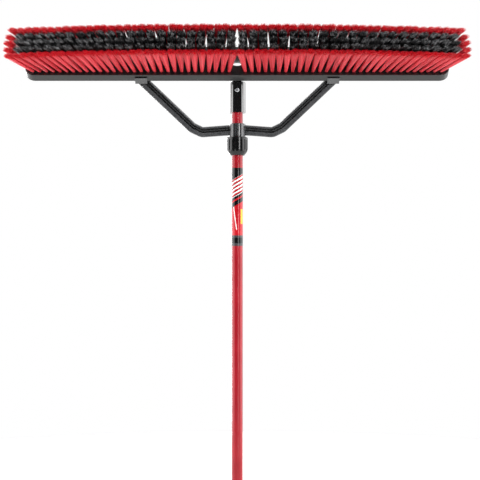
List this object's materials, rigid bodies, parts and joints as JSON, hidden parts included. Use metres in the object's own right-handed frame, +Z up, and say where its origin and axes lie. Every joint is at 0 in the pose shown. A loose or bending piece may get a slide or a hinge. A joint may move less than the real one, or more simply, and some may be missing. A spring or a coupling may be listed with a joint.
{
  "type": "push broom",
  "caption": "Wide push broom: fanned tufts in a flat block, long steel handle in a screwed socket, and a two-armed brace clamped to the handle by a hand nut.",
  "frame": {"origin": "centre of the flat end of the handle's cap", "axes": "+Z up the handle's axis to the head, X along the head, bristles pointing up and towards -Y (the user's side)"},
  "size_m": [0.9976, 0.1202, 1.649],
  "materials": {
    "block_foam": "satin moulded",
    "bristle_red": "satin filament",
    "bristle_black": "satin filament",
    "staple_steel": "drawn wire",
    "socket_plastic": "gloss moulded",
    "screw_steel": "zinc plated",
    "handle_paint": "gloss powder coat",
    "plug_plastic": "moulded",
    "label_film": "printed film",
    "cap_plastic": "moulded",
    "brace_plastic": "gloss moulded",
    "collet_plastic": "moulded",
    "nut_plastic": "moulded"
  },
  "bodies": {
    "root": {"block": "block_foam", "tufts_red_near_row": "bristle_red", "tufts_red_far_row": "bristle_red", "tufts_red_left_end": "bristle_red", "tufts_red_right_end": "bristle_red", "tufts_black_near": "bristle_black", "tufts_black_centre": "bristle_black", "tufts_black_far": "bristle_black", "tuft_staples": "staple_steel", "handle_socket": "socket_plastic", "socket_screws": "screw_steel", "handle_tube": "handle_paint", "tube_plug": "plug_plastic", "handle_lock_screw": "screw_steel", "handle_label": "label_film", "end_cap": "cap_plastic", "brace": "brace_plastic", "brace_screws": "screw_steel", "brace_washers": "screw_steel"},
    "collet": {"grip_collet": "collet_plastic"},
    "nut": {"clamp_nut": "nut_plastic"}
  },
  "joints": [
    {"name": "collet_travel", "type": "slide", "parent": "root", "child": "collet", "axis": [0, 0, -1], "range_m": [0, 0.0038]},
    {"name": "clamp_nut_turn", "type": "hinge", "parent": "collet", "child": "nut", "pos_m": [0, 0, 1.3876], "axis": [0, 0, -1], "range_deg": [0, 450]}
  ],
  "couplings": [
    {"joint": "collet_travel", "follows": "clamp_nut_turn", "m_per_rad": 0.00047746}
  ]
}
